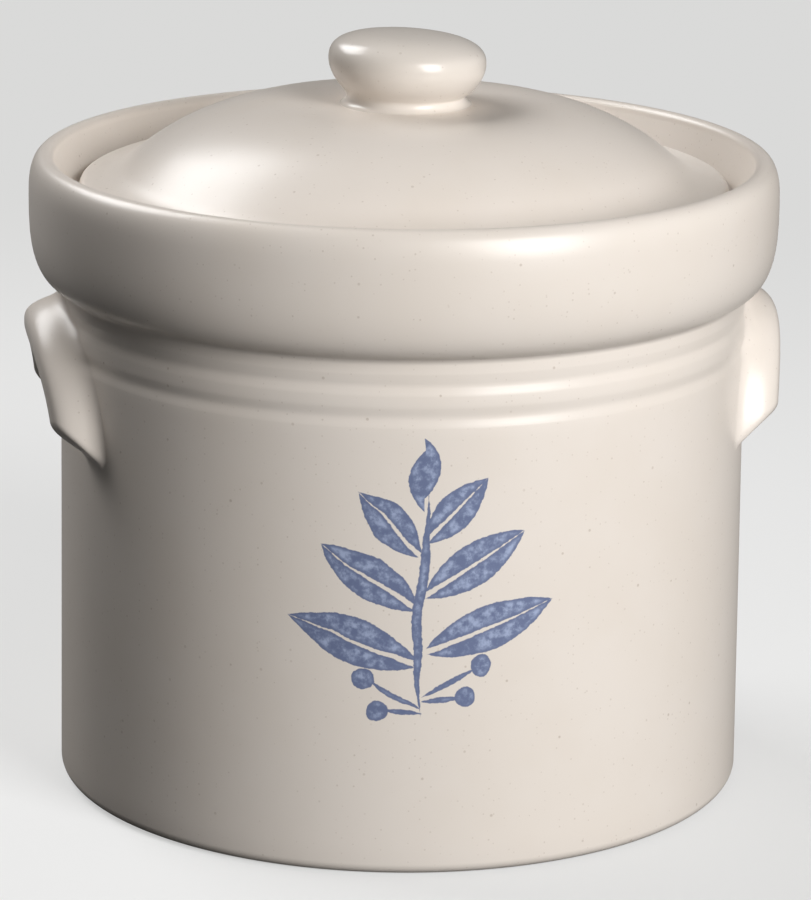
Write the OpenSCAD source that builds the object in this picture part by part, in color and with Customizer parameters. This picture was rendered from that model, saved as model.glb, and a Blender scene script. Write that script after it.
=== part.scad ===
// Stoneware crock canister with a recessed domed lid, a mushroom knob and two ear handles.
// Millimetres, +Z up. The origin is on the table, at the middle of the foot.
// The front is -Y, and the handles stand on -X and +X.

/* [Crock] */
// Outside diameter at the foot
body_d = 174; // [150:1:200]
// How far each side of the wall draws in on its way up to the collar
wall_draw = 0.85; // [0:0.05:3]
// Thickness of the wall below the collar
wall_t = 6.2; // [4:0.1:9]
// Thickness of the floor above the foot recess
floor_t = 7; // [4:0.5:12]
// Height of the rim above the table
rim_h = 160; // [130:0.1:200]
// Round where the wall meets the table
foot_round = 4; // [1:0.5:7]
// Width of the flat ring that the crock stands on
foot_ring_w = 12; // [6:0.5:20]
// Depth of the recess inside the foot ring
foot_recess = 1.5; // [0.5:0.1:3]
// Round between the floor and the wall, inside
inside_round = 12; // [4:0.5:20]

/* [Shoulder grooves] */
// Distance from the crease under the collar down to the upper groove
groove_drop = 7.1; // [5:0.1:9]
// Distance from the upper groove down to the lower one
groove_pitch = 7.8; // [6:0.1:12]
// Height of each soft groove
groove_w = 5.8; // [3:0.1:6]
// Depth of each soft groove
groove_depth = 0.45; // [0.2:0.05:1]

/* [Collar] */
// Height of the collar, from the crease under it to the rim
collar_h = 31.3; // [29:0.1:40]
// How far the collar stands out past the wall
collar_out = 7.75; // [5:0.25:12]
// Height of the collar's swelling underside
collar_under_h = 18.3; // [10:0.1:18.5]
// Height of the collar's upper curve
lip_h = 10.2; // [6:0.1:10.5]
// How far the upper curve draws in to the top of the rim
lip_draw = 4.6; // [2:0.1:6]
// Round on the inner edge of the rim
lip_round = 1.9; // [1:0.1:3]

/* [Lid seat] */
// Depth of the lid seat below the rim
seat_drop = 10.5; // [8:0.1:16]
// How far the wall above the seat slopes in on its way down
gallery_draw = 3.9; // [1:0.1:6]
// Width of the seat
seat_w = 7; // [5:0.5:9]
// Thickness of the seat at its inner edge
seat_t = 3; // [2:0.5:6]
// Height of the slope that carries the seat, below that edge
seat_slope_h = 7; // [3:0.5:15]

/* [Lid] */
// Play between the lid's edge and the wall above the seat
lid_gap = 2.2; // [1:0.1:3]
// Gap between the lid and its seat
seat_gap = 0.2; // [0.1:0.05:0.5]
// Thickness of the lid
lid_t = 3.9; // [3:0.1:6]
// Round on the lid's upper edge
lid_edge_round = 1.8; // [0.5:0.1:2]
// Width of the level flange outside the dome
flange_w = 2.5; // [2.1:0.1:4.5]
// Rise of the dome above the flange
dome_rise = 18.9; // [12:0.1:28]
// Diameter of the level top that carries the knob
dome_flat_d = 58.8; // [40:0.1:70]
// Hollow round where the dome flows into the flange
dome_foot_round = 14; // [6:0.5:20]

/* [Knob] */
// Diameter of the knob's cap
knob_d = 39.5; // [34:0.1:44]
// Height of the knob above the dome
knob_h = 17.6; // [15:0.1:24]
// Height of the cap above its widest line
cap_top_h = 7.1; // [4:0.1:8]
// Depth of the cap's rounded underside
cap_under_h = 8.9; // [7:0.1:10]
// Diameter of the neck under the cap
neck_d = 29; // [26:0.1:32]
// Hollow round where the neck flares out onto the dome
neck_flare = 2.6; // [1:0.1:3]
// Lean of the cap toward +X, in degrees, as it was set by hand
cap_lean = 3; // [0:0.5:5]

/* [Handles] */
// Width of a handle where it meets the wall
handle_w = 72.8; // [50:0.1:80]
// Height of a handle
handle_h = 35.4; // [30:0.1:50]
// How far a handle stands out from the wall
handle_out = 9.2; // [6:0.1:14]
// Distance from the crease under the collar down to a handle
handle_drop = 3.9; // [1:0.1:6]
// Width of the handle's outer slope, from its foot to its crest
strap_w = 6.9; // [5:0.1:11]
// Width of the crest's round over into the finger recess
crest_w = 6; // [4:0.1:8]
// Height over which the crest falls to the wall at the foot of each leg
leg_foot_h = 12.7; // [6:0.1:16]

/* [Hidden] */
$fn = 240;

cream = [0.90, 0.87, 0.82];
// Segments in a round of about a quarter turn
round_steps = 10;
groove_steps = 8;

// Radii and heights of the crock
body_r = body_d / 2;
wall_r = body_r - wall_draw;
inner_r = wall_r - wall_t;
crease_z = rim_h - collar_h;
floor_z = foot_recess + floor_t;
collar_r = wall_r + collar_out;
lip_r = collar_r - lip_draw;
gallery_r = lip_r - lip_round;
seat_r = gallery_r - gallery_draw;
seat_z = rim_h - seat_drop;
mouth_r = seat_r - seat_w;
upper_groove_z = crease_z - groove_drop;
lower_groove_z = upper_groove_z - groove_pitch;

// Radii and heights of the lid: its dome is two tangent arcs, one swelling and one hollow
lid_r = seat_r - lid_gap;
lid_z = seat_z + seat_gap;
flange_z = lid_z + lid_t;
flange_r = lid_r - flange_w;
dome_flat_r = dome_flat_d / 2;
dome_run = flange_r - dome_flat_r;
dome_turn = 2 * atan(dome_rise / dome_run);
dome_round = dome_run / sin(dome_turn) - dome_foot_round;
dome_z = flange_z + dome_rise;

// Heights of the knob, measured from the dome
cap_z = knob_h - cap_top_h;

// Places of the handles: a handle's surface starts below the glaze line of the wall
handle_z = crease_z - handle_drop - handle_h;
handle_sink = 1.5;
handle_root = 3;
arch_steps = 36;
slope_steps = 8;
crest_steps = 5;
leg_slope_power = 1.2;
top_slope_power = 1.8;
crest_power = 2.5;
leg_power = 9;

// An elliptical arc from angle a0 to a1, as points
function arc(cx, cz, rx, rz, a0, a1) =
    [for (k = [0:round_steps]) let (a = a0 + (a1 - a0) * k / round_steps)
        [cx + rx * cos(a), cz + rz * sin(a)]];

// A quarter of a superellipse from [rx, 0] to [0, rz], as points
function quarter(rx, rz, power) =
    [for (k = [0:round_steps]) let (a = 90 * k / round_steps)
        [rx * pow(cos(a), 2 / power), rz * pow(sin(a), 2 / power)]];

// The same outline without points that fall on each other
function spaced(points) =
    [for (k = [0:len(points) - 1]) if (k == 0 || norm(points[k] - points[k - 1]) > 0.001) points[k]];

// A soft groove, from its lower edge to its upper one
function groove(z) =
    [for (k = [0:groove_steps]) let (s = 2 * k / groove_steps - 1)
        [wall_r - groove_depth * pow(cos(90 * s), 2), z + s * groove_w / 2]];

function reversed(points) = [for (k = [len(points) - 1:-1:0]) points[k]];

// Outside of the crock, from the foot to the top of the rim
function crock_outside() = concat(
    arc(body_r - foot_round, foot_round, foot_round, foot_round, -90, 0),
    groove(lower_groove_z),
    groove(upper_groove_z),
    [for (p = reversed(quarter(collar_out, collar_under_h, 2.2)))
        [wall_r + p[0], crease_z + collar_under_h - p[1]]],
    [for (p = quarter(lip_draw, lip_h, 2.6)) [lip_r + p[0], rim_h - lip_h + p[1]]]);

// Inside of the crock, from the top of the rim to the middle of the floor
function crock_inside() = concat(
    arc(lip_r, rim_h - lip_round, lip_round, lip_round, 90, 180),
    [[seat_r, seat_z], [mouth_r, seat_z], [mouth_r, seat_z - seat_t]],
    [[inner_r, seat_z - seat_t - seat_slope_h]],
    arc(inner_r - inside_round, floor_z + inside_round, inside_round, inside_round, 0, -90),
    [[0, floor_z]]);

// Underside of the foot, from the middle outward
function crock_foot() = let (r = body_r - foot_round - foot_ring_w)
    [[0, foot_recess], [r, foot_recess], [r + foot_recess, 0]];

module crock_body() color(cream)
    rotate_extrude() polygon(spaced(concat(crock_foot(), crock_outside(), crock_inside())));

// The crock with its inside filled, which trims what is joined to its wall
module crock_filled()
    rotate_extrude() polygon(spaced(concat([[0, 0]], crock_outside(), [[0, rim_h]])));

// One line of a handle: an arch a distance inside the handle's outline, as [along the wall, height]
function arch(inset, turn) = [
    (handle_w / 2 - inset) * sin(turn), handle_z + (handle_h - inset) * cos(turn)];

// How far the crest stands out: all of it over the arch, falling straight to the wall at the legs' feet
function crest_out(turn) = let (rise = handle_h * cos(turn) / leg_foot_h)
    handle_out * rise / pow(1 + pow(rise, leg_power), 1 / leg_power);

// A point of a handle, from its place along the wall, its height and its distance out from the wall
function on_wall(place, out) = let (a = place[0] / wall_r * 180 / PI)
    [(wall_r + out) * cos(a), (wall_r + out) * sin(a), place[1]];

// A superelliptic fall from 1 to 0 as x goes from 0 to 1
function fall(x, power) = pow(1 - pow(x, power), 1 / power);

// The outer slope is nearly straight on the legs and rounder over the top of the arch
function slope_power(turn) = leg_slope_power + (top_slope_power - leg_slope_power) * pow(cos(turn), 2);

// One closed section of a handle: up the outer slope, over the crest, and back inside the wall
function handle_section(turn) = let (rise = crest_out(turn) + handle_sink, power = slope_power(turn))
concat(
    [for (k = [0:slope_steps]) let (a = k / slope_steps)
        on_wall(arch(strap_w * a, turn), rise * fall(1 - a, power) - handle_sink)],
    [for (k = [1:crest_steps]) let (a = k / crest_steps)
        on_wall(arch(strap_w + crest_w * a, turn), rise * fall(a, crest_power) - handle_sink)],
    [on_wall(arch(strap_w + crest_w, turn), -handle_root), on_wall(arch(0, turn), -handle_root)]);

// An ear handle on +X: an arched strap with a finger recess under it
module ear_handle() {
    sections = [for (k = [0:arch_steps]) handle_section(180 * k / arch_steps - 90)];
    count = len(sections[0]);
    walls = [for (k = [0:arch_steps - 1], m = [0:count - 1])
        let (a = k * count + m, b = k * count + (m + 1) % count)
        for (face = [[a, b + count, b], [a, a + count, b + count]]) face];
    last = arch_steps * count;
    ends = [for (m = [1:count - 2]) for (face = [[0, m, m + 1], [last, last + m + 1, last + m]]) face];
    difference() {
        polyhedron([for (section = sections) each section], concat(walls, ends));
        crock_filled();
    }
}

module right_handle() color(cream) ear_handle();

module left_handle() color(cream) mirror([1, 0, 0]) ear_handle();

// Top of the dome and flange, from the middle out to the flange, raised or lowered along its normal
function dome_line(drop) = concat(
    [[0, dome_z - drop]],
    arc(dome_flat_r, dome_z - dome_round, dome_round - drop, dome_round - drop, 90, 90 - dome_turn),
    arc(flange_r, flange_z + dome_foot_round, dome_foot_round + drop, dome_foot_round + drop,
        270 - dome_turn, 270));

module lid() color(cream)
    rotate_extrude() polygon(spaced(concat(
        dome_line(0),
        arc(lid_r - lid_edge_round, flange_z - lid_edge_round, lid_edge_round, lid_edge_round, 90, 0),
        [[lid_r, lid_z]],
        reversed(dome_line(lid_t)))));

// Flared foot and neck of the knob, up into its cap
module knob_stem() {
    neck_r = neck_d / 2;
    flare = arc(neck_r + neck_flare, neck_flare, neck_flare, neck_flare, 255, 180);
    rotate_extrude() polygon(concat(
        [[0, 0], [flare[0][0], 0]],
        flare,
        [[neck_r, cap_z - cap_under_h / 2], [0, cap_z]]));
}

// Cap of the knob, round its own widest line
module knob_cap() let (core_r = 0.6 * knob_d / 2)
    rotate_extrude() polygon(spaced(concat(
        [[0, -cap_under_h]],
        [for (p = reversed(quarter(knob_d / 2 - core_r, cap_under_h, 1.7))) [core_r + p[0], -p[1]]],
        quarter(knob_d / 2, cap_top_h, 2.9))));

// The cap leans about the middle of its neck
module lid_knob() color(cream)
    translate([0, 0, dome_z]) {
        knob_stem();
        translate([0, 0, cap_z / 2]) rotate([0, cap_lean, 0]) translate([0, 0, cap_z / 2]) knob_cap();
    }

crock_body();
left_handle();
right_handle();
lid();
lid_knob();
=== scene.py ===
import math

import bpy
import numpy as np
from mathutils import Matrix, Vector


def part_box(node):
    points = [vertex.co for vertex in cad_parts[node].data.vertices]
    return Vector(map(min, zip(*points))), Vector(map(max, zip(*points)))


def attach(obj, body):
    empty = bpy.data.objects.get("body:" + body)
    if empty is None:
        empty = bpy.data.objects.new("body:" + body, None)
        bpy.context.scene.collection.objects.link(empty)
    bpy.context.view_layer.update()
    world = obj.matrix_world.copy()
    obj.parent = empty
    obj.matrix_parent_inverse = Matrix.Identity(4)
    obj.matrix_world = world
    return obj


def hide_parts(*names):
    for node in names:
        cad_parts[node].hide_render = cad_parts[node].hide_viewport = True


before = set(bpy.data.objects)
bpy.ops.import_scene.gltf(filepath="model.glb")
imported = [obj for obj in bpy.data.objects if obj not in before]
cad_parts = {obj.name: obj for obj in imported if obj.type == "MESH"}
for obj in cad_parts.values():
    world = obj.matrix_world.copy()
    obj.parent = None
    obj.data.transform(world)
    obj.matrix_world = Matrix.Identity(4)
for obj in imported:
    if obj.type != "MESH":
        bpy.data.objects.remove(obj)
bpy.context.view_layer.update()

MM = 0.001

# Sizes that the frame gives
RIM_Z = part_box("crock_body")[1].z
LID_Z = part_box("lid")[0].z
LID_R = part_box("lid")[1].y
DOME_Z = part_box("lid")[1].z

# Crock, from the foot up
FOOT_R = 87 * MM
WALL_R = 86.15 * MM
INNER_R = 79.95 * MM
FOOT_ROUND = 3 * MM
FOOT_RING_W = 13 * MM
FOOT_RECESS = 1.5 * MM
FLOOR_Z = 8.5 * MM
INSIDE_ROUND = 12 * MM
CREASE_DROP = 31.3 * MM
CREASE_Z = RIM_Z - CREASE_DROP
CREASE_ROUND = 2 * MM
GROOVE_DROPS = (14.9 * MM, 7.1 * MM)
GROOVE_W = 5.8 * MM
GROOVE_DEPTH = 0.45 * MM
COLLAR_OUT = 7.75 * MM
COLLAR_UNDER_H = 18.3 * MM
COLLAR_UNDER_POWER = 2.5
LIP_H = 10.2 * MM
LIP_DRAW = 4.6 * MM
LIP_POWER = 2.6
LIP_ROUND = 1.9 * MM
LIP_R = WALL_R + COLLAR_OUT - LIP_DRAW
RECESS_SLANT = 3.9 * MM
SEAT_DROP = 10.5 * MM
SEAT_W = 7 * MM
SEAT_T = 3 * MM
SEAT_SLOPE_H = 7 * MM
SEAT_R = LIP_R - LIP_ROUND - RECESS_SLANT
SEAT_Z = RIM_Z - SEAT_DROP
MOUTH_R = SEAT_R - SEAT_W

# Lid: a dome of two tangent arcs, one swelling and one hollow, inside a level flange
LID_T = 3.9 * MM
LID_EDGE_ROUND = 1.8 * MM
FLANGE_W = 2.5 * MM
FLANGE_R = LID_R - FLANGE_W
FLANGE_Z = LID_Z + LID_T
DOME_FLAT_R = 29.4 * MM
DOME_FOOT_ROUND = 14 * MM

# Knob, with heights measured from the dome, and a flared foot whose edge dives into the dome
KNOB_R = 19.75 * MM
KNOB_H = 17.6 * MM
CAP_TOP_H = 7.1 * MM
CAP_TOP_POWER = 2.9
CAP_UNDER_H = 8.9 * MM
CAP_UNDER_POWER = 1.7
CAP_Z = KNOB_H - CAP_TOP_H
CAP_CORE_R = 0.6 * KNOB_R
NECK_R = 14.5 * MM
FLARE_H = 2.6 * MM
FLARE_W = 1.6 * MM
FLARE_START = 266
FLARE_EDGE_W = 1 * MM
FLARE_EDGE_DROP = 0.12 * MM
ROOT_W = 3 * MM
ROOT_DROP = 0.8 * MM
CAP_LEAN = math.radians(3)
LEAN_FROM = 1 * MM
LEAN_OVER = 3 * MM

# Handles: an arched strap on the wall, with a finger recess under it
HANDLE_W = 72.8 * MM
HANDLE_H = 35.4 * MM
HANDLE_OUT = 9.2 * MM
HANDLE_DROP = 3.9 * MM
HANDLE_Z = CREASE_Z - HANDLE_DROP - HANDLE_H
COVE_SHARE = 0.38
SECTION_POWER = 3
INSIDE_POWER = 2.5
ARCH_START = -3 * MM
ARCH_CREST = 6.9 * MM
ARCH_INSIDE_W = 6 * MM
LEG_START = -1.7 * MM
LEG_CREST = 9.2 * MM
LEG_INSIDE_W = 2.5 * MM
LEG_BELOW = 7 * MM
LEG_END_Z = 6.5 * MM
LEG_END_H = 10.5 * MM
LEG_END_SLANT = 0.15
LEG_END_ROUND = 2.1 * MM
LEG_END_FILLET = 1.3 * MM
STRAP_SPAN = (-4 * MM, 15 * MM)
STRAP_SINK = 0.06 * MM
STRAP_ROOT = 3 * MM

# Fineness of the meshes, and the rounds that glaze gives to corners
SEGMENTS = 256
ARC_STEPS = 24
ARCH_STEPS = 240
LEG_BELOW_STEPS = 24
STRAP_STEP = 0.25 * MM
SOFTEN_STEPS = 4
THIN_TURN = math.radians(4)
THIN_LENGTH = 5 * MM
GLAZE_ROUND = 0.3 * MM
NECK_ROUND = 0.9 * MM

# How far the potter's hand strays from a true circle, in waves: share, lobes, start, twist a metre
UNEVEN = 0.16 * MM
UNEVEN_WAVES = ((0.5, 2, 0.7, 0), (0.3, 3, 1.9, 18), (0.2, 5, 4.1, -31))

# Sprig on the front: its middle on the wall
SPRIG_Z = 73.5 * MM
SPRIG_TURN = math.radians(-5.5)

# Sprig, drawn in millimetres from its middle, with its right side a little higher than its left
SPRIG_STAGGER = 1.6
WAVER_ACROSS = 2.2
WAVER_UP = 1.4
STEM_FOOT = -33
STEM_LENGTH = 55
STEM_HALF_W = 1.3
STEM_SWAY = 1.1
STEM_SWAY_RATE = 0.085

# Leaves on either side: root on the stem, angle, length, half width, vein. The last two are stalks.
LEAVES = (
    (-19, 20, 34, 5.6, 0.75),
    (-5, 32, 29, 5.2, 0.7),
    (8, 46, 22, 4.5, 0.6),
    (19, 90, 15, 3.9, 0),
    (-30, 28, 15, 0.75, 0),
    (-31, 5, 10, 0.75, 0))

# Berries on either side: place across, place up, radius
BERRIES = ((14.2, -22.5, 2.7), (10.5, -30.2, 2.5))

# Colours, as linear light
CREAM = (0.790, 0.722, 0.655, 1)
CREAM_DEEP = (0.770, 0.698, 0.625, 1)
# The knob's two creams are the crock's creams made a little darker: painted shade, standing in for the
# knob taking less light than the lid and wall
KNOB_PAINTED_SHADE_CREAM = (0.750, 0.690, 0.630, 1)
KNOB_PAINTED_SHADE_DEEP = (0.730, 0.668, 0.602, 1)
SPECK = (0.36, 0.27, 0.20, 1)
BLUE_DEEP = (0.105, 0.145, 0.280, 1)
BLUE_PALE = (0.340, 0.410, 0.600, 1)
CLAY = (0.52, 0.40, 0.29, 1)

# Glaze: its gloss, and the cells in a metre of each noise in it
GLAZE_IOR = 1.5
ROUGHNESS = 0.30
KNOB_ROUGHNESS = 0.22
GLOSS_SCALE = 55
GLOSS_CHANGE = 0.06
CLOUD_SCALE = 28
CLOUD_RANGE = (0.35, 0.75)
PEEL_SCALE = 520
PEEL_STRENGTH = 0.35
PEEL_H = 0.02 * MM

# Specks: spacing, radius, share of the places that hold one, strength
FINE_SPECKS = (1.3 * MM, 0.32 * MM, 0.6, 0.32)
COARSE_SPECKS = (3.4 * MM, 0.5 * MM, 0.5, 0.45)
SPECK_SCATTER = 0.8
SPECK_EDGE = 0.5
SPECK_FAINTEST = 0.4

# Paint of the sprig, and the bare clay of the foot ring
WAVER_SCALE = 90
RAG_SCALE = 900
RAG = 0.7
PAINT_EDGE = (-0.10, 0.14)
PAINT_COVER = 0.94
PAINT_DEPTH = (3 * MM, 2 * MM)
SPONGE_SCALE = 420
SPONGE_RANGE = (0.40, 0.68)
SPONGE_INSET = (0.1, 1.2)
BARE_Z = (0.2 * MM, 0.7 * MM)
BARE_ROUGHER = 0.4

# Studio: the floor, and a dim room with a low fill behind the canister
FLOOR_HALF = 6.0
FLOOR_FADE = (0.25, 0.75)
FLOOR_TONE = 0.36
FLOOR_BOUNCE = 0.07
FLOOR_ROUGHNESS = 0.9
FLOOR_WHITE = (1, 1, 0.99, 1)
FLOOR_GLOW_NEAR = 0.50
FLOOR_GLOW_FAR = 0.70
BACKDROP = 0.65
ROOM_MIRRORED = 0.06
ROOM_FILL = 0.006
FILL_BEHIND = (0.3, 0.95)
FILL_LOW = (0.12, 0.5)

# The photograph's camera: it stands to the left of the front and looks down on the canister
VIEW_TURN = math.radians(9)
VIEW_ELEVATION = math.radians(14.81)
VIEW_DISTANCE = 1.1261
VIEW_CENTRE = Vector((0, 0, 0.095))
AIM_DOWN = math.radians(0.61)
AIM_RIGHT = math.radians(0.056)
ROLL = math.radians(0.74)
LENS = 177.2
SENSOR_W = 36
RIGHT = Vector((math.cos(VIEW_TURN), -math.sin(VIEW_TURN), 0))
AHEAD = Vector((math.sin(VIEW_TURN), math.cos(VIEW_TURN), 0))
UP = Vector((0, 0, 1))


# Outlines

def arc(cx, cz, rx, rz, start, end):
    """An elliptical arc between two angles in degrees, as points."""
    angles = np.radians(np.linspace(start, end, ARC_STEPS + 1))
    return np.column_stack([cx + rx * np.cos(angles), cz + rz * np.sin(angles)])


def quarter(rx, rz, power):
    """A quarter of a superellipse from (rx, 0) to (0, rz), as points."""
    angles = np.linspace(0, math.pi / 2, ARC_STEPS + 1)
    share = 2 / power
    return np.column_stack([rx * np.cos(angles).clip(0) ** share, rz * np.sin(angles) ** share])


def thin(line):
    """The line with only the points that its curves need."""
    kept = [0]
    step = np.diff(line, axis=0)
    heading = np.unwrap(np.arctan2(step[:, 1], step[:, 0]))
    for k in range(1, len(line) - 1):
        turned_by = abs(heading[k] - heading[kept[-1]])
        length = np.hypot(*(line[k] - line[kept[-1]]))
        if turned_by > THIN_TURN or length > THIN_LENGTH:
            kept.append(k)
    return line[kept + [len(line) - 1]]


def soften(points, radius=GLAZE_ROUND):
    """The outline with every corner rounded, as a coat of glaze rounds it."""
    points = np.asarray(points, float)
    place = np.concatenate([[0], np.cumsum(np.hypot(*np.diff(points, axis=0).T))])
    even = np.linspace(0, place[-1], int(place[-1] / radius * SOFTEN_STEPS))
    line = np.column_stack([np.interp(even, place, points[:, k]) for k in (0, 1)])
    # A bell of weights, three radii long on either side
    reach = 3 * SOFTEN_STEPS
    weights = np.exp(-0.5 * (np.arange(-reach, reach + 1) / SOFTEN_STEPS) ** 2)
    weights /= weights.sum()
    before = 2 * line[0] - line[reach:0:-1]
    after = 2 * line[-1] - line[-2:-reach - 2:-1]
    padded = np.concatenate([before, line, after])
    smooth = np.column_stack([np.convolve(padded[:, k], weights, "valid") for k in (0, 1)])
    return thin(smooth)


def groove(z):
    """A soft groove round the shoulder, from its lower edge to its upper one."""
    s = np.linspace(-1, 1, ARC_STEPS + 1)
    r = WALL_R - GROOVE_DEPTH * np.cos(s * math.pi / 2) ** 2
    return np.column_stack([r, z + s * GROOVE_W / 2])


def crock_outside():
    """Outside of the crock, from the foot to the top of the rim."""
    under = quarter(COLLAR_OUT, COLLAR_UNDER_H, COLLAR_UNDER_POWER)[::-1] * (1, -1)
    under += (WALL_R, CREASE_Z + COLLAR_UNDER_H)
    return np.concatenate([
        arc(FOOT_R - FOOT_ROUND, FOOT_ROUND, FOOT_ROUND, FOOT_ROUND, -90, 0),
        *[groove(CREASE_Z - drop) for drop in GROOVE_DROPS],
        arc(WALL_R + CREASE_ROUND, CREASE_Z - CREASE_ROUND, CREASE_ROUND, CREASE_ROUND, 180, 90),
        under[under[:, 0] > WALL_R + CREASE_ROUND],
        quarter(LIP_DRAW, LIP_H, LIP_POWER) + (LIP_R, RIM_Z - LIP_H)])


def crock_outline():
    """The whole crock, from the middle of its underside to the middle of its floor."""
    ring_r = FOOT_R - FOOT_ROUND - FOOT_RING_W
    under = [(0, FOOT_RECESS), (ring_r, FOOT_RECESS), (ring_r + FOOT_RECESS, 0)]
    seat = [(SEAT_R, SEAT_Z), (MOUTH_R, SEAT_Z), (MOUTH_R, SEAT_Z - SEAT_T),
            (INNER_R, SEAT_Z - SEAT_T - SEAT_SLOPE_H)]
    return np.concatenate([
        under,
        crock_outside(),
        arc(LIP_R, RIM_Z - LIP_ROUND, LIP_ROUND, LIP_ROUND, 90, 180),
        seat,
        arc(INNER_R - INSIDE_ROUND, FLOOR_Z + INSIDE_ROUND, INSIDE_ROUND, INSIDE_ROUND, 0, -90),
        [(0, FLOOR_Z)]])


def dome_line(drop):
    """The dome and its flange, from the middle outward, lowered along its normal."""
    run = FLANGE_R - DOME_FLAT_R
    turn = 2 * math.atan((DOME_Z - FLANGE_Z) / run)
    swell = run / math.sin(turn) - DOME_FOOT_ROUND
    hollow = DOME_FOOT_ROUND + drop
    turn = math.degrees(turn)
    return np.concatenate([
        [(0, DOME_Z - drop)],
        arc(DOME_FLAT_R, DOME_Z - swell, swell - drop, swell - drop, 90, 90 - turn),
        arc(FLANGE_R, FLANGE_Z + DOME_FOOT_ROUND, hollow, hollow, 270 - turn, 270)])


def lid_outline():
    """The lid, from the middle of its underside to the middle of its top."""
    edge_r = LID_R - LID_EDGE_ROUND
    edge_z = FLANGE_Z - LID_EDGE_ROUND
    edge = arc(edge_r, edge_z, LID_EDGE_ROUND, LID_EDGE_ROUND, 0, 90)
    return np.concatenate([dome_line(LID_T), [(LID_R, LID_Z)], edge, dome_line(0)[::-1]])


def knob_outline():
    """The knob, from under its flared foot to the top of its cap, with heights from the dome."""
    foot_r = NECK_R + FLARE_W
    under = quarter(KNOB_R - CAP_CORE_R, CAP_UNDER_H, CAP_UNDER_POWER)[::-1] * (1, -1)
    under += (CAP_CORE_R, CAP_Z)
    return np.concatenate([
        [(0, -ROOT_DROP), (foot_r + ROOT_W, -ROOT_DROP), (foot_r + FLARE_EDGE_W, -FLARE_EDGE_DROP)],
        arc(foot_r, FLARE_H, FLARE_W, FLARE_H, FLARE_START, 180),
        under[under[:, 0] > NECK_R],
        quarter(KNOB_R, CAP_TOP_H, CAP_TOP_POWER) + (0, CAP_Z)])


# Meshes

def uneven(points):
    """Points moved in or out a little, as a hand-made pot is never quite round."""
    x, y, z = points.T
    turn = np.arctan2(y, x)
    waves = 0
    for share, lobes, start, twist in UNEVEN_WAVES:
        waves = waves + share * np.sin(lobes * turn + start + twist * z)
    grow = 1 + UNEVEN * waves / WALL_R
    return np.column_stack([x * grow, y * grow, z])


def add_piece(name, points, faces, node, body, material):
    """A smooth mesh that stands for one CAD node and rides on its body."""
    mesh = bpy.data.meshes.new(name)
    mesh.from_pydata(points.tolist(), [], faces)
    mesh.validate()
    mesh.polygons.foreach_set("use_smooth", np.ones(len(mesh.polygons), bool))
    mesh.materials.append(material)
    piece = bpy.data.objects.new(name, mesh)
    bpy.context.scene.collection.objects.link(piece)
    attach(piece, body)
    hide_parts(node)


def turned(outline):
    """Points and faces of a turned shape whose outline starts and ends on the axis."""
    angles = np.arange(SEGMENTS) * 2 * math.pi / SEGMENTS
    r, z = outline[1:-1].T
    rings = np.stack([np.outer(r, np.cos(angles)), np.outer(r, np.sin(angles)),
                      np.repeat(z[:, None], SEGMENTS, 1)], -1)
    start = (0, 0, outline[0, 1])
    end = (0, 0, outline[-1, 1])
    points = np.concatenate([[start], rings.reshape(-1, 3), [end]])
    last = len(points) - 1
    top = last - SEGMENTS
    faces = []
    for j in range(SEGMENTS):
        k = (j + 1) % SEGMENTS
        faces.append((0, 1 + k, 1 + j))
        for low in range(1, top, SEGMENTS):
            faces.append((low + j, low + k, low + SEGMENTS + k, low + SEGMENTS + j))
        faces.append((top + j, top + k, last))
    return points, faces


def leaning(points):
    """The knob's points with the cap leaning to the right, and the foot level on the dome."""
    x, y, z = points.T
    middle = CAP_Z / 2
    share = np.clip((z - LEAN_FROM) / LEAN_OVER, 0, 1)
    lean = CAP_LEAN * share * share * (3 - 2 * share)
    rise = z - middle
    across = x * np.cos(lean) + rise * np.sin(lean)
    up = middle - x * np.sin(lean) + rise * np.cos(lean)
    return np.column_stack([across, y, up])


def smooth_max(a, b, reach):
    """The larger of two values, with a round of that reach where they cross."""
    near = np.maximum(reach - np.abs(a - b), 0) / reach
    return np.maximum(a, b) + near * near * reach / 4


def smooth_min(a, b, reach):
    """The smaller of two values, with a round of that reach where they cross."""
    return -smooth_max(-a, -b, reach)


def fall(x, power):
    """A superelliptic fall from 1 to 0 as x goes from 0 to 1."""
    return np.maximum(1 - x ** power, 0) ** (1 / power)


def handle_section(inset, arched):
    """The strap's share of its full height at an inset: a cove, a swell and a steep inside."""
    start = LEG_START + (ARCH_START - LEG_START) * arched
    crest = LEG_CREST + (ARCH_CREST - LEG_CREST) * arched
    inside_w = LEG_INSIDE_W + (ARCH_INSIDE_W - LEG_INSIDE_W) * arched
    x = np.clip((inset - start) / (crest - start), 0, 1)
    cove = COVE_SHARE * (x / COVE_SHARE) ** SECTION_POWER
    swell = 1 - (1 - COVE_SHARE) * ((1 - x) / (1 - COVE_SHARE)) ** SECTION_POWER
    inside = fall(np.clip((inset - crest) / inside_w, 0, 1), INSIDE_POWER)
    return np.where(x < COVE_SHARE, cove, swell) * inside


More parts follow.
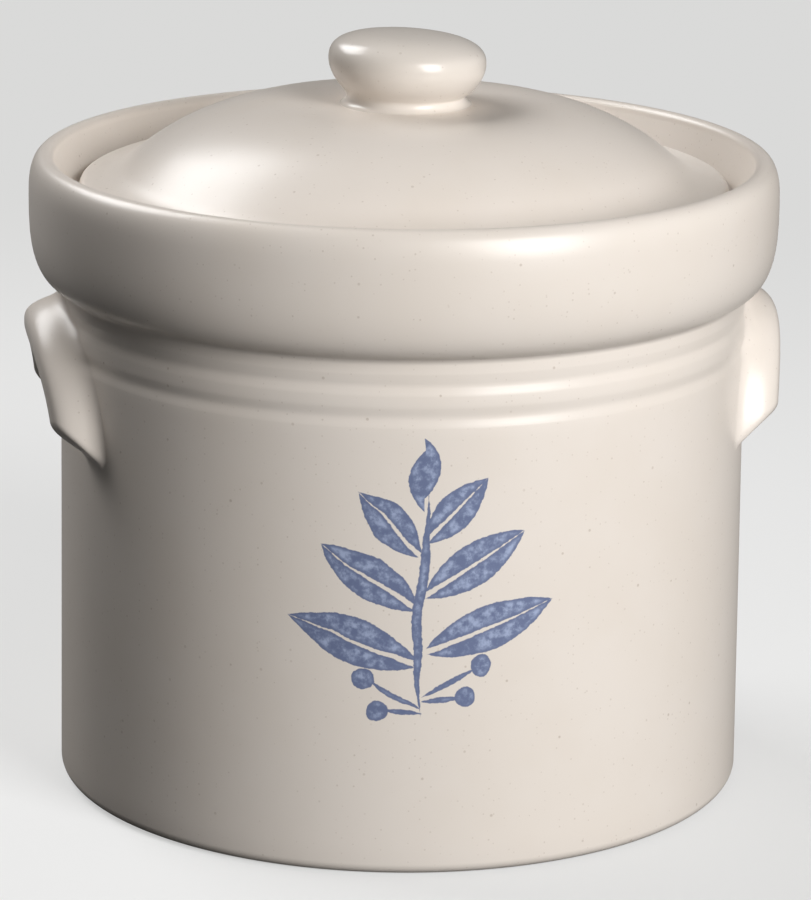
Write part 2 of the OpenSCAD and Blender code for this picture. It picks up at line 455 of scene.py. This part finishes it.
def handle_mesh(wall, side):
    """Points and faces of an ear handle that flows into the wall, on +X or -X."""
    # Along the arch from leg to leg, with a short stretch below each leg
    drop = np.linspace(LEG_BELOW, 0, LEG_BELOW_STEPS + 1)[:-1]
    turn = np.linspace(-math.pi / 2, math.pi / 2, ARCH_STEPS + 1)
    drop = np.concatenate([drop, 0 * turn, drop[::-1]])[:, None]
    turn = np.pad(turn, LEG_BELOW_STEPS, "edge")[:, None]
    # Across the strap from outside the arch to inside it
    inset = np.arange(*STRAP_SPAN, STRAP_STEP)
    place = (HANDLE_W / 2 - inset) * np.sin(turn)
    z = HANDLE_Z + (HANDLE_H - inset) * np.cos(turn) - drop
    under = np.interp(z, wall[:, 1], wall[:, 0]) - STRAP_SINK
    strap = under + handle_section(inset, np.cos(turn) ** 2) * (WALL_R + HANDLE_OUT - under)
    # Each leg ends in a slanting cut, from the crest down to the wall
    height = HANDLE_H * np.cos(turn) - drop - LEG_END_SLANT * (inset - ARCH_CREST)
    cut = WALL_R + HANDLE_OUT * (0.5 + (height - LEG_END_Z) / LEG_END_H)
    cut = smooth_max(cut, under, LEG_END_FILLET)
    r = np.maximum(smooth_min(strap, cut, LEG_END_ROUND), under)
    # Two more lines close the strap behind, inside the wall
    back = np.full((len(turn), 2), WALL_R - STRAP_ROOT)
    r = np.concatenate([r, back], 1)
    z = np.concatenate([z, z[:, -1:], z[:, :1]], 1)
    angle = np.concatenate([place, place[:, -1:], place[:, :1]], 1) / WALL_R
    points = np.stack([side * r * np.cos(angle), r * np.sin(angle), z], -1)
    rows, count = r.shape
    faces = []
    for low in range(0, (rows - 1) * count, count):
        for m in range(count):
            n = (m + 1) % count
            faces.append((low + m, low + n, low + count + n, low + count + m))
    faces += [tuple(range(count))[::-1], tuple(range((rows - 1) * count, rows * count))]
    if side > 0:
        faces = [face[::-1] for face in faces]
    return points.reshape(-1, 3), faces


# Shader helpers

class Value:
    """A number in a material: arithmetic on it adds Math nodes to the material's tree."""

    def __init__(self, tree, socket):
        self.tree = tree
        self.socket = socket

    def math(self, operation, *others):
        made = self.tree.nodes.new("ShaderNodeMath")
        made.operation = operation
        for socket, value in zip(made.inputs, (self, *others)):
            feed(self.tree, socket, value)
        return Value(self.tree, made.outputs[0])

    def __add__(self, other):
        return self.math("ADD", other)

    def __sub__(self, other):
        return self.math("SUBTRACT", other)

    def __rsub__(self, other):
        return (self * -1) + other

    def __mul__(self, other):
        return self.math("MULTIPLY", other)

    def __abs__(self):
        return self.math("ABSOLUTE")


def feed(tree, socket, value):
    """Links a value or a socket to an input, or sets it to a constant."""
    if isinstance(value, Value):
        value = value.socket
    if isinstance(value, bpy.types.NodeSocket):
        tree.links.new(value, socket)
    else:
        socket.default_value = value


def add_node(tree, kind, inputs=None, **settings):
    """A new node with its settings made and its inputs fed."""
    made = tree.nodes.new(kind)
    for key, value in settings.items():
        setattr(made, key, value)
    for key, value in (inputs or {}).items():
        feed(tree, made.inputs[key], value)
    return made


def noise(tree, place, scale, detail=2.0, roughness=0.5):
    """Soft noise from 0 to 1, with about that many cells in a metre."""
    made = add_node(tree, "ShaderNodeTexNoise",
                    {"Vector": place, "Scale": scale, "Detail": detail, "Roughness": roughness})
    return Value(tree, made.outputs["Fac"])


def ramp(value, low, high):
    """0 below low, 1 above high, and smooth between them."""
    span = {"Value": value, "From Min": low, "From Max": high}
    made = add_node(value.tree, "ShaderNodeMapRange", span, interpolation_type="SMOOTHSTEP")
    return Value(value.tree, made.outputs["Result"])


def mix(tree, share, a, b):
    """The colour that is a share of the way from a to b."""
    made = add_node(tree, "ShaderNodeMix", {"Factor": share}, data_type="RGBA")
    sockets = {socket.identifier: socket for socket in (*made.inputs, *made.outputs)}
    feed(tree, sockets["A_Color"], a)
    feed(tree, sockets["B_Color"], b)
    return sockets["Result_Color"]


# Materials

def specks(tree, place, spacing, radius, share, strength):
    """Small iron specks: a round dot of its own size in a share of the cells of a scatter."""
    scatter = {"Vector": place, "Scale": 1 / spacing, "Randomness": SPECK_SCATTER}
    cells = add_node(tree, "ShaderNodeTexVoronoi", scatter)
    pick = add_node(tree, "ShaderNodeSeparateColor", {"Color": cells.outputs["Color"]})
    reach = ramp(Value(tree, pick.outputs["Red"]), 1 - share, 1) * (radius / spacing)
    dot = ramp(reach - Value(tree, cells.outputs["Distance"]), 0, SPECK_EDGE * radius / spacing)
    shade = Value(tree, pick.outputs["Green"]) * (1 - SPECK_FAINTEST) + SPECK_FAINTEST
    return dot * shade * strength


def sprig_paint(tree, place):
    """The sponged sprig: how much paint lies at a point, and how deep in a painted shape it is."""
    parts = add_node(tree, "ShaderNodeSeparateXYZ", {"Vector": place})
    x, y, z = (Value(tree, parts.outputs[k]) for k in range(3))
    ahead = x * math.sin(SPRIG_TURN) - y * math.cos(SPRIG_TURN)
    beside = x * math.cos(SPRIG_TURN) + y * math.sin(SPRIG_TURN)
    # Places on the front in millimetres, with the waver of a hand
    waver = noise(tree, place, WAVER_SCALE, detail=1.0) - 0.5
    u = beside.math("ARCTAN2", ahead) * (WALL_R / MM) + waver * WAVER_ACROSS
    v = (z - SPRIG_Z) * (1 / MM) + waver * WAVER_UP
    m = abs(u)
    w = v - u.math("SIGN") * SPRIG_STAGGER

    def leaf(root, degrees, length, half_width, vein):
        c, s = math.cos(math.radians(degrees)), math.sin(math.radians(degrees))
        p = (m * c + (w - root) * s) * (1 / length)
        q = abs((w - root) * c - m * s)
        shape = p * (1 - p) * (4 * half_width) - q
        if vein:
            shape = shape.math("MINIMUM", q - (1 - p) * vein)
        return shape

    def berry(across, up, radius):
        du = m - across
        dv = w - up
        return radius - (du * du + dv * dv).math("SQRT")

    along = (v - STEM_FOOT) * (1 / STEM_LENGTH)
    sway = u - (v * STEM_SWAY_RATE).math("SINE") * STEM_SWAY
    inside = along * (1 - along) * (4 * STEM_HALF_W) - abs(sway)
    for shape in [leaf(*row) for row in LEAVES] + [berry(*row) for row in BERRIES]:
        inside = inside.math("MAXIMUM", shape)
    ragged = inside + (noise(tree, place, RAG_SCALE, detail=3.0) - 0.5) * RAG
    outer = ramp((x * x + y * y).math("SQRT"), *[WALL_R - depth for depth in PAINT_DEPTH])
    return ramp(ragged, *PAINT_EDGE) * outer, inside


def glaze(name, pale, deep, roughness, crock=False):
    """Satin cream glaze with fine specks. The crock's has the sprig too, and a foot ring of bare clay."""
    material = bpy.data.materials.new(name)
    material.use_nodes = True
    tree = material.node_tree
    shader = tree.nodes["Principled BSDF"]
    place = add_node(tree, "ShaderNodeTexCoord").outputs["Object"]
    cloud = noise(tree, place, CLOUD_SCALE, detail=3.0, roughness=0.6)
    colour = mix(tree, ramp(cloud, *CLOUD_RANGE), pale, deep)
    dots = specks(tree, place, *FINE_SPECKS) + specks(tree, place, *COARSE_SPECKS)
    colour = mix(tree, dots, colour, SPECK)
    gloss = noise(tree, place, GLOSS_SCALE) * GLOSS_CHANGE + roughness
    if crock:
        paint, inside = sprig_paint(tree, place)
        sponge = ramp(noise(tree, place, SPONGE_SCALE, detail=4.0, roughness=0.65), *SPONGE_RANGE)
        blue = mix(tree, sponge * ramp(inside, *SPONGE_INSET), BLUE_DEEP, BLUE_PALE)
        colour = mix(tree, paint * PAINT_COVER, colour, blue)
        parts = add_node(tree, "ShaderNodeSeparateXYZ", {"Vector": place})
        bare = 1 - ramp(Value(tree, parts.outputs["Z"]), *BARE_Z)
        colour = mix(tree, bare, colour, CLAY)
        gloss = gloss + bare * BARE_ROUGHER
    peel = {"Height": noise(tree, place, PEEL_SCALE), "Strength": PEEL_STRENGTH, "Distance": PEEL_H}
    bump = add_node(tree, "ShaderNodeBump", peel)
    feed(tree, shader.inputs["Base Color"], colour)
    feed(tree, shader.inputs["Roughness"], gloss)
    feed(tree, shader.inputs["Normal"], bump.outputs["Normal"])
    shader.inputs["IOR"].default_value = GLAZE_IOR
    return material


# Pieces

plain_glaze = glaze("cream_glaze", CREAM, CREAM_DEEP, ROUGHNESS)
front_glaze = glaze("cream_glaze_with_sprig", CREAM, CREAM_DEEP, ROUGHNESS, crock=True)
# The knob's glaze is glossier, and its cream is darker as painted shade
knob_shaded_glaze = glaze("cream_glaze_with_painted_shade", KNOB_PAINTED_SHADE_CREAM, KNOB_PAINTED_SHADE_DEEP, KNOB_ROUGHNESS)

outside = soften(crock_outside())
wall_line = outside[(outside[:, 1] > FOOT_ROUND) & (outside[:, 1] < CREASE_Z + COLLAR_UNDER_H)]

points, faces = turned(soften(crock_outline()))
add_piece("crock", uneven(points), faces, "crock_body", "crock", front_glaze)

for side, word in ((-1, "left"), (1, "right")):
    points, faces = handle_mesh(wall_line, side)
    add_piece(word + "_ear_handle", uneven(points), faces, word + "_handle", "crock", plain_glaze)

points, faces = turned(soften(lid_outline()))
add_piece("domed_lid", uneven(points), faces, "lid", "lid", plain_glaze)

points, faces = turned(soften(knob_outline(), NECK_ROUND))
points = leaning(points) + (0, 0, DOME_Z)
add_piece("mushroom_knob", points, faces, "lid_knob", "lid", knob_shaded_glaze)


# Floor, light and camera

def add_floor():
    """A plain pale floor that takes the shadow, throws little light back and fades to a backdrop."""
    mesh = bpy.data.meshes.new("floor")
    corners = [(x * FLOOR_HALF, y * FLOOR_HALF, 0) for x, y in ((-1, -1), (1, -1), (1, 1), (-1, 1))]
    mesh.from_pydata(corners, [], [(0, 1, 2, 3)])
    material = bpy.data.materials.new("pale_floor")
    material.use_nodes = True
    tree = material.node_tree
    path = add_node(tree, "ShaderNodeLightPath")
    seen = Value(tree, path.outputs["Is Camera Ray"])
    mirrored = Value(tree, path.outputs["Is Glossy Ray"])
    place = add_node(tree, "ShaderNodeTexCoord").outputs["Object"]
    length = add_node(tree, "ShaderNodeVectorMath", {0: place}, operation="LENGTH").outputs["Value"]
    near = 1 - ramp(Value(tree, length), *FLOOR_FADE)
    thrown = mirrored * ROOM_MIRRORED + (1 - seen) * FLOOR_BOUNCE
    glow = near * (FLOOR_GLOW_NEAR - FLOOR_GLOW_FAR) + FLOOR_GLOW_FAR
    shader = tree.nodes["Principled BSDF"]
    feed(tree, shader.inputs["Base Color"], seen * near * FLOOR_TONE + thrown)
    feed(tree, shader.inputs["Emission Strength"], seen * glow)
    shader.inputs["Emission Color"].default_value = FLOOR_WHITE
    shader.inputs["Roughness"].default_value = FLOOR_ROUGHNESS
    shader.inputs["Specular IOR Level"].default_value = 0
    mesh.materials.append(material)
    floor = bpy.data.objects.new("floor", mesh)
    bpy.context.scene.collection.objects.link(floor)


def add_softbox(name, azimuth, elevation, distance, width, height, power):
    """A soft lamp aimed at the canister, with its angles right of the camera and above the floor."""
    a, e = math.radians(azimuth), math.radians(elevation)
    out = (RIGHT * math.sin(a) - AHEAD * math.cos(a)) * math.cos(e) + UP * math.sin(e)
    lamp = bpy.data.lights.new(name, "AREA")
    lamp.shape = "RECTANGLE"
    lamp.size = width
    lamp.size_y = height
    lamp.energy = power
    holder = bpy.data.objects.new(name, lamp)
    holder.location = VIEW_CENTRE + out * distance
    holder.rotation_mode = "QUATERNION"
    holder.rotation_quaternion = out.to_track_quat("Z", "Y")
    bpy.context.scene.collection.objects.link(holder)


def add_world():
    """A dim fill, with more of it low behind, and a pale backdrop for what looks past the floor."""
    world = bpy.data.worlds.new("studio")
    bpy.context.scene.world = world
    world.use_nodes = True
    tree = world.node_tree
    path = add_node(tree, "ShaderNodeLightPath")
    seen = Value(tree, path.outputs["Is Camera Ray"])
    mirrored = Value(tree, path.outputs["Is Glossy Ray"])
    heading = add_node(tree, "ShaderNodeTexCoord").outputs["Generated"]
    parts = add_node(tree, "ShaderNodeSeparateXYZ", {"Vector": heading})
    behind = ramp(Value(tree, parts.outputs["Y"]), *FILL_BEHIND)
    low = 1 - ramp(Value(tree, parts.outputs["Z"]), *FILL_LOW)
    glow = behind * low * (1 - seen - mirrored)
    fill = tree.nodes["Background"]
    fill.inputs["Color"].default_value = (1, 1, 1, 1)
    strength = seen * BACKDROP + mirrored * ROOM_MIRRORED + glow + ROOM_FILL
    feed(tree, fill.inputs["Strength"], strength)


def add_camera():
    """The photograph's camera, rolled a little to the left."""
    lens = bpy.data.cameras.new("camera")
    lens.lens = LENS
    lens.sensor_width = SENSOR_W
    camera = bpy.data.objects.new("camera", lens)
    look = AHEAD * math.cos(VIEW_ELEVATION) - UP * math.sin(VIEW_ELEVATION)
    pitch = VIEW_ELEVATION + AIM_DOWN
    heading = VIEW_TURN + AIM_RIGHT
    ahead = Vector((math.sin(heading), math.cos(heading), 0))
    right = Vector((math.cos(heading), -math.sin(heading), 0))
    aim = ahead * math.cos(pitch) - UP * math.sin(pitch)
    over = right.cross(aim)
    side = right * math.cos(ROLL) + over * math.sin(ROLL)
    top = over * math.cos(ROLL) - right * math.sin(ROLL)
    turn = Matrix((side, top, -aim)).transposed().to_4x4()
    camera.matrix_world = Matrix.Translation(VIEW_CENTRE - look * VIEW_DISTANCE) @ turn
    bpy.context.scene.collection.objects.link(camera)
    bpy.context.scene.camera = camera


add_floor()
add_softbox("key", azimuth=37, elevation=21, distance=1.6, width=0.72, height=1.05, power=30)
add_softbox("back_left", azimuth=-127.5, elevation=43, distance=1.3, width=0.86, height=0.58, power=12)
add_world()
add_camera()
bpy.context.scene.view_settings.view_transform = "Standard"
